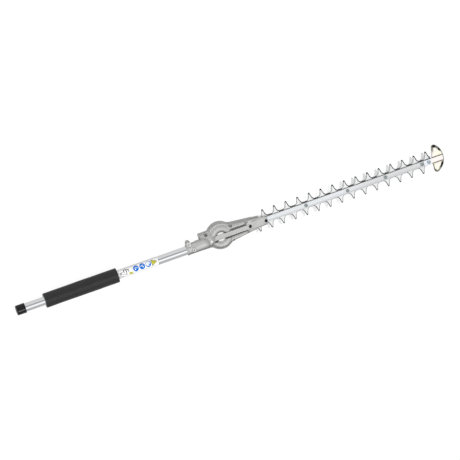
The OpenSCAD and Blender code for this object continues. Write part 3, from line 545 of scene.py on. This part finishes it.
# material slots of a blade, and the materials of each blade in that order; all but the flat
# face's are darker and lighter copies of the steel that paint light and shade
FLAT, GROUND_PAINTED_SHADE, EDGE_PAINTED_SHADE, EDGE_PAINTED_LIGHT, GROUND_PAINTED_HALF_SHADE = range(5)
UPPER_MATERIALS = ["blade_steel", "blade_ground", "blade_edge", "blade_edge_light",
                   "blade_ground_mid"]
LOWER_MATERIALS = ["blade_low", "low_ground_painted_shade", "low_edge_painted_shade", "low_edge_painted_shade", "low_ground_painted_shade"]


def blade_slot(face, outer, up):
    """The slot of a blade's face: lit and shaded copies of one steel, chosen by the face's
    side and turn, paint light and shade on the ground flanks, sides and tips.
    """
    centre = face.calc_center_median()
    tip = abs(centre.y) > TOOTH_TIP_Y and face.normal.z > -0.5
    spine = abs(centre.y) < SPINE_Y
    plus = centre.y > 0
    lit = face.normal.x < -0.22
    if abs(face.normal.z) < 0.25:
        if spine and up:
            return GROUND_PAINTED_HALF_SHADE
        return EDGE_PAINTED_LIGHT if plus and lit and not tip and not spine else EDGE_PAINTED_SHADE
    if any(v in outer for v in face.verts):
        if tip:
            return GROUND_PAINTED_SHADE
        if plus:
            return EDGE_PAINTED_LIGHT if lit else GROUND_PAINTED_SHADE
        return GROUND_PAINTED_HALF_SHADE if lit else EDGE_PAINTED_LIGHT
    return GROUND_PAINTED_HALF_SHADE if tip and up else FLAT


def blade(node, body, up):
    """A blade with ground flanks, which slope away on the side that faces out (up or down)."""
    bm = welded(node)
    bmesh.ops.dissolve_limit(bm, angle_limit=math.radians(0.5), verts=bm.verts, edges=bm.edges)
    out = 1 if up else -1
    # cut across every slot, so that no face has to reach round one
    for x, _, _ in solid_centres("blade_collars"):
        bisect(bm, (x + out * SLOT_CUT_OFFSET, 0, 0), (1, 0, 0))
    bm.normal_update()
    flats = [f for f in bm.faces if f.normal.z * out > 0.9]
    bmesh.ops.inset_region(bm, faces=flats, thickness=GROUND_WIDTH, depth=0,
                           use_even_offset=True, use_boundary=True)
    bm.normal_update()
    inner = {v for f in flats if f.is_valid for v in f.verts}
    rim = {v for f in bm.faces if abs(f.normal.z) < 0.5 for v in f.verts}
    # at the blade's end the inset overshoots the sharp inner corner; draw it back
    for v in inner - rim:
        if v.co.x <= 1.222:
            continue
        for edge in v.link_edges:
            other = edge.other_vert(v)
            if other in rim and other not in inner and (v.co - other.co).length > 0.0032:
                reach = v.co - other.co
                v.co = other.co + reach * GROUND_WIDTH / reach.length
    face_height = max(v.co.z * out for v in bm.verts)
    outer = {v for v in rim - inner
             if v.co.z * out > face_height - 1e-5 and abs(v.co.y) > 0.0106 and v.co.x > 0.70}
    for v in outer:
        tip = max(0.0, (abs(v.co.y) - 0.0270) / 0.0038)
        v.co.z -= out * (GROUND_DROP + TIP_EXTRA_DROP * min(1, tip))
    bm.normal_update()
    for side in (-1, 1):
        bisect(bm, (0, side * TOOTH_TIP_Y, 0), (0, 1, 0))
    bm.normal_update()
    # painted light and shade: each face gets a lighter or darker copy of the steel by its side
    # and turn
    for face in bm.faces:
        face.material_index = blade_slot(face, outer, up)
    new_object(node + "_ground", to_mesh(bm, node + "_ground"),
               UPPER_MATERIALS if up else LOWER_MATERIALS, body, replaced=node)


blade("upper_blade", "upper_blade_line", up=True)
blade("lower_blade", "lower_blade_line", up=False)

# ------------------------------------------------------------------ fasteners and bar

# bevel width in mm of the pieces kept from the CAD
BEVELS = {
    "bolt_washers": 0.25, "clamp_nut": 0.3, "blade_nuts": 0.3, "blade_washers": 0.2,
    "tip_guard_nut": 0.3, "case_screws": 0.2, "clamp_bolt": 0.3, "locating_screw": 0.25,
    "grease_plug": 0.3, "bar_screws": 0.25, "blade_bolts": 0.3,
}


def break_edges(node, width):
    obj = NODES[node]
    weld = obj.modifiers.new("weld", "WELD")
    weld.merge_threshold = WELD_DISTANCE
    bevel = obj.modifiers.new("bevel", "BEVEL")
    bevel.width, bevel.segments = width * MM, 2
    bevel.limit_method, bevel.angle_limit = "ANGLE", math.radians(40)
    bevel.harden_normals = True
    for p in obj.data.polygons:
        p.use_smooth = True


def two_materials(node, first, second, is_second):
    """Faces for which is_second(centre, normal) is true get the second material."""
    set_materials(node, first, second)
    for p in NODES[node].data.polygons:
        p.material_index = int(is_second(p.center, p.normal))


def paint_socket_shade(node, material, heads, radius):
    """Paints shade into the sockets of the heads, given as (x, y, top): the faces inside them
    get a near-black material.
    """
    two_materials(node, material, "socket", lambda c, n: any(
        math.hypot(c.x - x, c.y - y) < radius and c.z > top - 0.006 for x, y, top in heads))


for name, width in BEVELS.items():
    break_edges(name, width)

for name in ("clamp_bolt", "locating_screw"):
    low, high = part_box(name)
    head = ((low[0] + high[0]) / 2, (low[1] + high[1]) / 2, high[2])
    paint_socket_shade(name, "washer_zinc", [head], radius=0.0017)
paint_socket_shade("case_screws", "screw_grey", solid_centres("case_screws"), radius=0.0016)

# the blade bolt nearest the tip is bluer than the rest
last_bolt_x = max(x for x, _, _ in solid_centres("blade_bolts"))
two_materials("blade_bolts", "bolt_grey", "bolt_blue",
              lambda c, n: abs(c.x - last_bolt_x) < 0.006)
# painted shade: the guide bar's side faces get a near-black material
two_materials("guide_bar", "bar_steel", "bar_side", lambda c, n: abs(n.z) < 0.5)

# ------------------------------------------------------------------ tip guard (mm)

# (x, y) of the wings' outline on the +Y side before they are turned and placed
HALF_WING = [
    (21.2, 0), (21, 7), (20.2, 13), (18.3, 20), (16.6, 23.4), (14.4, 27), (11.6, 30.8),
    (9.3, 33.2), (7, 35.4), (4, 38), (0.4, 39.8), (-3, 40), (-5.8, 39), (-8.2, 37),
    (-10, 33.6), (-10.8, 29), (-10.9, 22), (-11.6, 16), (-13.4, 9.6),
]
WING_X, WING_Y = 1262, 1.6
WING_TURN = math.radians(-6.5)
WING = [(WING_X + x * math.cos(WING_TURN) - y * math.sin(WING_TURN),
         WING_Y + x * math.sin(WING_TURN) + y * math.cos(WING_TURN))
        for x, y in HALF_WING + [(x, -y) for x, y in HALF_WING[:0:-1]]]

# colours painted on the rim band: DARK and GREY are painted shade of the curled rim, ROSE and
# BROWN the film's tint
DARK = Vector((0.010, 0.012, 0.009))
GREY = Vector((0.30, 0.29, 0.25))
ROSE = Vector((0.66, 0.56, 0.54))
BROWN = Vector((0.13, 0.12, 0.10))


def edge_distance(x, y):
    """Distance to the nearest side of the wings' outline."""
    best = 99.0
    for (ax, ay), (bx, by) in zip(WING, WING[1:] + WING[:1]):
        dx, dy = bx - ax, by - ay
        k = max(0.0, min(1.0, ((x - ax) * dx + (y - ay) * dy) / (dx * dx + dy * dy)))
        best = min(best, math.hypot(x - ax - k * dx, y - ay - k * dy))
    return best


def soft(value, low, high):
    """Smooth step from 0 at low to 1 at high."""
    t = max(0.0, min(1.0, (value - low) / (high - low)))
    return t * t * (3 - 2 * t)


def roll_rim(mesh):
    """Rolls the rim of the wings down, further on the +Y side."""
    for v in mesh.vertices:
        x, y, z = (c * 1000 for c in v.co)
        if x < 1247 or abs(y - 0.4) < 9.0 and x < 1276 or z < -24.5:
            continue
        width = 6.0 * min(1.0, 0.25 + (abs(y) - 9.0) / 22.0) if abs(y) > 9 else 0.0
        if x < WING_X - 3 + 0.11 * y and abs(y - WING_Y) < 35:
            width *= 0.42
        if width < 0.3:
            continue
        k = min(0.93, (width - edge_distance(x, y)) / width)
        if k > 0:
            drop = 0.95 if y > 0 else 0.30
            v.co.z -= width * (1 - math.sqrt(1 - k * k)) * drop * MM
    mesh.update()


def rim_shade_and_tint(x, y):
    """Width and colour of the rim band, painted shade of the curled rim mixed with the film's
    tint, darkest in two spots at +Y and along a stretch at -Y."""
    if y > 0:
        wide = soft(y, 17, 23) * soft(x, 1255, 1259)
        spot = max(1 - soft(math.hypot(x - 1264.5, y - 38), 3.4, 6.0),
                   1 - soft(math.hypot(x - 1278, y - 25), 4.0, 6.4))
        colour = ROSE.lerp(GREY.lerp(DARK, spot), max(soft(x, 1257, 1262), soft(y, 24, 30)))
        return 2.6 + 3.6 * wide, colour
    stretch = soft(-y, 10, 13) * soft(x, 1257, 1262)
    end = soft(-y, 25, 29)
    colour = BROWN.lerp(GREY.lerp(DARK, stretch * (1 - end)), soft(x, 1252, 1258))
    return 2.6 + 3.2 * end + 4.6 * stretch * (1 - end), colour


def paint_rim_shade_and_tint(mesh):
    """Stores the rim band's colour, painted shade mixed with the film's tint, and its strength
    as alpha, for every point.
    """
    rim_shade_tint = mesh.attributes.new("rim_shade_tint", "FLOAT_COLOR", "POINT")
    for i, v in enumerate(mesh.vertices):
        x, y, z = (c * 1000 for c in v.co)
        if x < 1247 or z < -27:
            rim_shade_tint.data[i].color = (0, 0, 0, 0)
            continue
        width, colour = rim_shade_and_tint(x, y)
        band = (1 - soft(abs(y), 9.2, 10.0)) * (1 - soft(x, 1277, 1278.5))
        strength = (1 - soft(edge_distance(x, y), width - 0.9, width + 0.9)) * (1 - band)
        rim_shade_tint.data[i].color = (*colour, strength)


guard = cast("tip_guard", "frame", "guard_zinc", voxel=0.42, rounds=3)
roll_rim(guard.data)
# painted shade and tint on the rim band
paint_rim_shade_and_tint(guard.data)

# ------------------------------------------------------------------ crank bearing seat

SEAT_X = 0.612
SEAT_RADIUS = 0.0127
SEAT_TOP, SEAT_BOTTOM = -0.01150, -0.0125


def machined_seat(side):
    """The part of the bearing's seat that shows beside the spine, at -Y or +Y."""
    bm = bmesh.new()
    angles = [math.radians(a) for a in range(34, 147, 4)]
    arc = [(SEAT_X + SEAT_RADIUS * math.cos(a), side * SEAT_RADIUS * math.sin(a))
           for a in angles]
    top = [bm.verts.new((x, y, SEAT_TOP)) for x, y in arc]
    bottom = [bm.verts.new((x, y, SEAT_BOTTOM)) for x, y in arc]
    bm.faces.new(top)
    bm.faces.new(bottom[::-1])
    for i in range(len(arc)):
        k = (i + 1) % len(arc)
        bm.faces.new((top[i], bottom[i], bottom[k], top[k]))
    bmesh.ops.recalc_face_normals(bm, faces=bm.faces)
    new_object(f"machined_seat_{side + 1}", to_mesh(bm, "seat"), ["machined"], "frame")


for side in (-1, 1):
    machined_seat(side)

# ------------------------------------------------------------------ printed marks

# radii of the stacked layers of print on the tube
LAYER_1 = TUBE_RADIUS + 0.00024
LAYER_2 = TUBE_RADIUS + 0.00030
LAYER_3 = TUBE_RADIUS + 0.00036
PATCH_STRIP = 0.6  # mm of girth between bends


def patch(name, outline, material, radius=LAYER_1, body="frame"):
    """A flat outline (x, girth) in mm laid round the tube; girth 0 faces the camera."""
    bm = bmesh.new()
    bm.faces.new([bm.verts.new((x * MM, girth * MM, 0)) for x, girth in outline])
    lowest, highest = min(p[1] for p in outline), max(p[1] for p in outline)
    k = math.ceil(lowest / PATCH_STRIP)
    while k * PATCH_STRIP < highest:
        bisect(bm, (0, k * PATCH_STRIP * MM, 0), (0, 1, 0))
        k += 1
    for v in bm.verts:
        a = v.co.y / radius + CAMERA_LEAN
        v.co = Vector((v.co.x, radius * math.sin(a), radius * math.cos(a)))
    bmesh.ops.recalc_face_normals(bm, faces=bm.faces)
    if bm.faces and sum(f.normal.z for f in bm.faces) < 0:
        bmesh.ops.reverse_faces(bm, faces=bm.faces)
    new_object(name, to_mesh(bm, name), [material], body, smooth=True)


def rect(x0, girth0, x1, girth1):
    return [(x0, girth0), (x1, girth0), (x1, girth1), (x0, girth1)]


def ellipse(x, girth, radius_x, radius_girth, n=48):
    return [(x + radius_x * math.cos(2 * math.pi * i / n),
             girth + radius_girth * math.sin(2 * math.pi * i / n)) for i in range(n)]


for i, x in enumerate((352.6, 371.2, 389.6)):
    patch(f"mark_disc_{i}", ellipse(x, 0.2, 8.1, 9.0), "print_blue")

# name, outline in mm, material, layer
MARKS = [
    ("0a", [(349.4, 1.2), (358.4, 0.6), (358.4, 2.4), (349.4, 3.4)], "print_white", LAYER_2),
    ("0b", ellipse(350.4, -2.0, 1.7, 2.0), "print_white", LAYER_2),
    ("1a", [(366.0, 0.2), (374.8, 2.6), (374.8, 4.2), (366.0, 2.0)], "print_white", LAYER_2),
    ("1b", ellipse(373.2, -1.6, 1.6, 1.8), "print_white", LAYER_2),
    ("2a", ellipse(389.0, 1.6, 5.6, 6.4), "print_white", LAYER_2),
    ("2b", ellipse(391.6, -1.2, 1.6, 2.6), "print_blue", LAYER_3),
    ("triangle_rim", [(399.0, -9.6), (416.6, 0.4), (399.0, 10.2)], "print_olive", LAYER_1),
    ("triangle", [(400.8, -7.0), (413.4, 0.3), (400.8, 7.6)], "print_yellow", LAYER_2),
    ("triangle_in", [(403.4, -0.8), (408.0, -0.4), (408.0, 1.4), (403.4, 1.6)],
     "print_olive", LAYER_3),
    ("small_yellow", rect(330.8, -12.0, 341.0, -4.4), "print_yellow", LAYER_1),
    ("small_in", rect(334.2, -9.4, 337.8, -6.6), "print_olive", LAYER_2),
]
for name, outline, material, layer in MARKS:
    patch("mark_" + name, outline, material, layer)

# x0, girth0, x1, girth1 in mm of the grey bars
LINES = [
    (304.0, 0.2, 313.5, 2.2), (304.0, -3.6, 311.0, -1.8), (304.0, -7.2, 309.0, -5.4),
    (306.0, -11.0, 314.0, -9.0), (316.0, -1.0, 318.4, 8.4), (318.4, 6.4, 323.0, 8.4),
    (323.0, -2.6, 325.2, 8.4), (325.2, 4.4, 330.0, 6.4), (329.8, -2.4, 332.0, 6.4),
    (312.0, -5.0, 327.0, -3.8), (317.0, -8.4, 326.0, -7.2),
]
for i, corners in enumerate(LINES):
    patch(f"mark_line_{i}", rect(*corners), "print_grey")

# a painted highlight along the cap where the bright strip lights are reflected: a thin lighter
# strip laid just above the rubber, with a near-black matte strip beside it
cap_low, cap_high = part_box("end_cap")
cap_radius = cap_high[2]
highlight_start = cap_low[0] * 1000 + 3.2
highlight_end = cap_high[0] * 1000 - 1.6
patch("cap_seam", rect(highlight_start, -5.4, highlight_end, -3.0), "cap_seam",
      cap_radius + 0.00006, "cap_line")
patch("cap_groove", rect(highlight_start, -2.9, highlight_end, -1.2), "cap_groove",
      cap_radius + 0.00004, "cap_line")

# ------------------------------------------------------------------ camera

CAMERA_ROLL = math.radians(19.5)
CAMERA_TILT = math.radians(8.0)  # towards -X
AIM_RIGHT, AIM_UP, AIM_BACK = 0.593236, 0.224504, -0.12  # along the camera's own axes
VIEW_WIDTH = 1.288
LENS, SENSOR = 800.0, 36  # mm


def add_camera():
    cos_roll, sin_roll = math.cos(CAMERA_ROLL), math.sin(CAMERA_ROLL)
    cos_tilt, sin_tilt = math.cos(CAMERA_TILT), math.sin(CAMERA_TILT)
    cos_lean, sin_lean = math.cos(CAMERA_LEAN), math.sin(CAMERA_LEAN)
    right = Vector((cos_tilt * cos_roll,
                    -cos_lean * sin_roll + sin_lean * sin_tilt * cos_roll,
                    sin_lean * sin_roll + cos_lean * sin_tilt * cos_roll))
    up = Vector((cos_tilt * sin_roll,
                 cos_lean * cos_roll + sin_lean * sin_tilt * sin_roll,
                 -sin_lean * cos_roll + cos_lean * sin_tilt * sin_roll))
    back = Vector((-sin_tilt, sin_lean * cos_tilt, cos_lean * cos_tilt))
    target = right * AIM_RIGHT + up * AIM_UP + back * AIM_BACK
    data = bpy.data.cameras.new("camera")
    data.lens = LENS
    data.sensor_width = SENSOR
    data.clip_start, data.clip_end = 0.1, 100
    camera = bpy.data.objects.new("camera", data)
    bpy.context.scene.collection.objects.link(camera)
    matrix = Matrix((right, up, back)).transposed().to_4x4()
    matrix.translation = target + back * (VIEW_WIDTH * LENS / SENSOR)
    camera.matrix_world = matrix
    bpy.context.scene.camera = camera


add_camera()

# ------------------------------------------------------------------ lights and world

LIGHT_TARGET = Vector((0.65, 0, 0))


def area_light(name, location, size, power):
    """A disc light aimed at the middle of the pole, unseen in reflections."""
    data = bpy.data.lights.new(name, "AREA")
    data.shape, data.size, data.energy = "DISK", size, power
    light = bpy.data.objects.new(name, data)
    light.location = location
    light.rotation_mode = "QUATERNION"
    light.rotation_quaternion = (LIGHT_TARGET - Vector(location)).to_track_quat("-Z", "Y")
    light.visible_glossy = False
    bpy.context.scene.collection.objects.link(light)


area_light("key", location=(0.3, 0.5, 2.6), size=1.6, power=44)
area_light("side", location=(-1.4, -0.8, 1.6), size=1.0, power=4)
area_light("tip", location=(2.4, -0.6, 1.4), size=1.0, power=4)

# angle round X in degrees from +Z towards +Y, brightness
STRIPS = [
    (-180, 0.26), (-110, 0.36), (-85, 0.42), (-60, 0.50), (-36, 0.58), (-24, 0.80),
    (-14, 1.10), (-2, 1.22), (8, 1.12), (20, 0.62), (32, 0.36), (46, 0.40), (60, 0.70),
    (75, 0.80), (95, 0.74), (135, 0.66), (180, 0.26),
]


def studio_world():
    """Long soft boxes along the pole, dimmed towards its ends; white to the camera."""
    world = bpy.data.worlds.new("studio")
    g = Graph(world)
    output = g.node("OutputWorld")
    boxes = g.node("Background")
    white = g.node("Background")
    switch = g.node("MixShader")
    light_path = g.node("LightPath")
    coords = g.node("TexCoord")
    direction = g.node("SeparateXYZ")
    g.link(coords.outputs["Generated"], direction.inputs[0])
    angle = g.math("ARCTAN2", direction.outputs["Y"], direction.outputs["Z"])
    turn = g.math("ADD", g.math("DIVIDE", angle, 2 * math.pi), 0.5)
    # the first stop is neutral, the others very slightly blue
    stops = [(0.0, (STRIPS[0][1],) * 3)]
    stops += [((degrees + 180) / 360, (v * 0.995, v, v * 1.01)) for degrees, v in STRIPS[1:]]
    g.link(g.ramp(turn, stops), boxes.inputs[0])
    ends = g.remap(g.math("ABSOLUTE", direction.outputs["X"]), span=(0.30, 0.85),
                   to=(1.0, 0.35), ease="SMOOTHSTEP")
    g.link(ends, boxes.inputs[1])
    white.inputs[0].default_value = (1, 1, 1, 1)
    white.inputs[1].default_value = 1.0
    g.link(light_path.outputs["Is Camera Ray"], switch.inputs[0])
    g.link(boxes.outputs[0], switch.inputs[1])
    g.link(white.outputs[0], switch.inputs[2])
    g.link(switch.outputs[0], output.inputs[0])
    bpy.context.scene.world = world


studio_world()

# ------------------------------------------------------------------ floor


def floor_material():
    """Mostly glowing white to the camera, and a dimmer glow to all other rays."""
    t = Material("floor_white")
    glow = t.node("Emission")
    glow.inputs["Strength"].default_value = 1.06
    grain = t.noise(scale=0.004, detail=4)
    t.link(t.ramp(grain, [(0.2, (0.985, 0.985, 0.985)), (0.8, (1, 1, 1))]), glow.inputs[0])
    diffuse = t.node("BsdfDiffuse")
    diffuse.inputs["Color"].default_value = (0.9, 0.9, 0.9, 1)
    seen = t.node("MixShader")
    seen.inputs[0].default_value = 0.12  # share of diffuse, which takes the shadows
    t.link(glow.outputs[0], seen.inputs[1])
    t.link(diffuse.outputs[0], seen.inputs[2])
    dim = t.node("Emission")
    dim.inputs["Color"].default_value = (1, 1, 1, 1)
    light_path = t.node("LightPath")
    strength = t.remap(light_path.outputs["Is Glossy Ray"], span=(0, 1), to=(0.30, 0.70))
    t.link(strength, dim.inputs["Strength"])
    switch = t.node("MixShader")
    t.link(light_path.outputs["Is Camera Ray"], switch.inputs[0])
    t.link(dim.outputs[0], switch.inputs[1])
    t.link(seen.outputs[0], switch.inputs[2])
    t.link(switch.outputs[0], t.output.inputs[0])
    return t.material


bpy.ops.mesh.primitive_plane_add(size=14, location=(0.65, 0, -0.0412))
floor = bpy.context.object
floor.name = "floor"
floor.data.materials.append(floor_material())

view = bpy.context.scene.view_settings
view.view_transform = "Standard"
view.look = "None"
view.exposure = 0.0
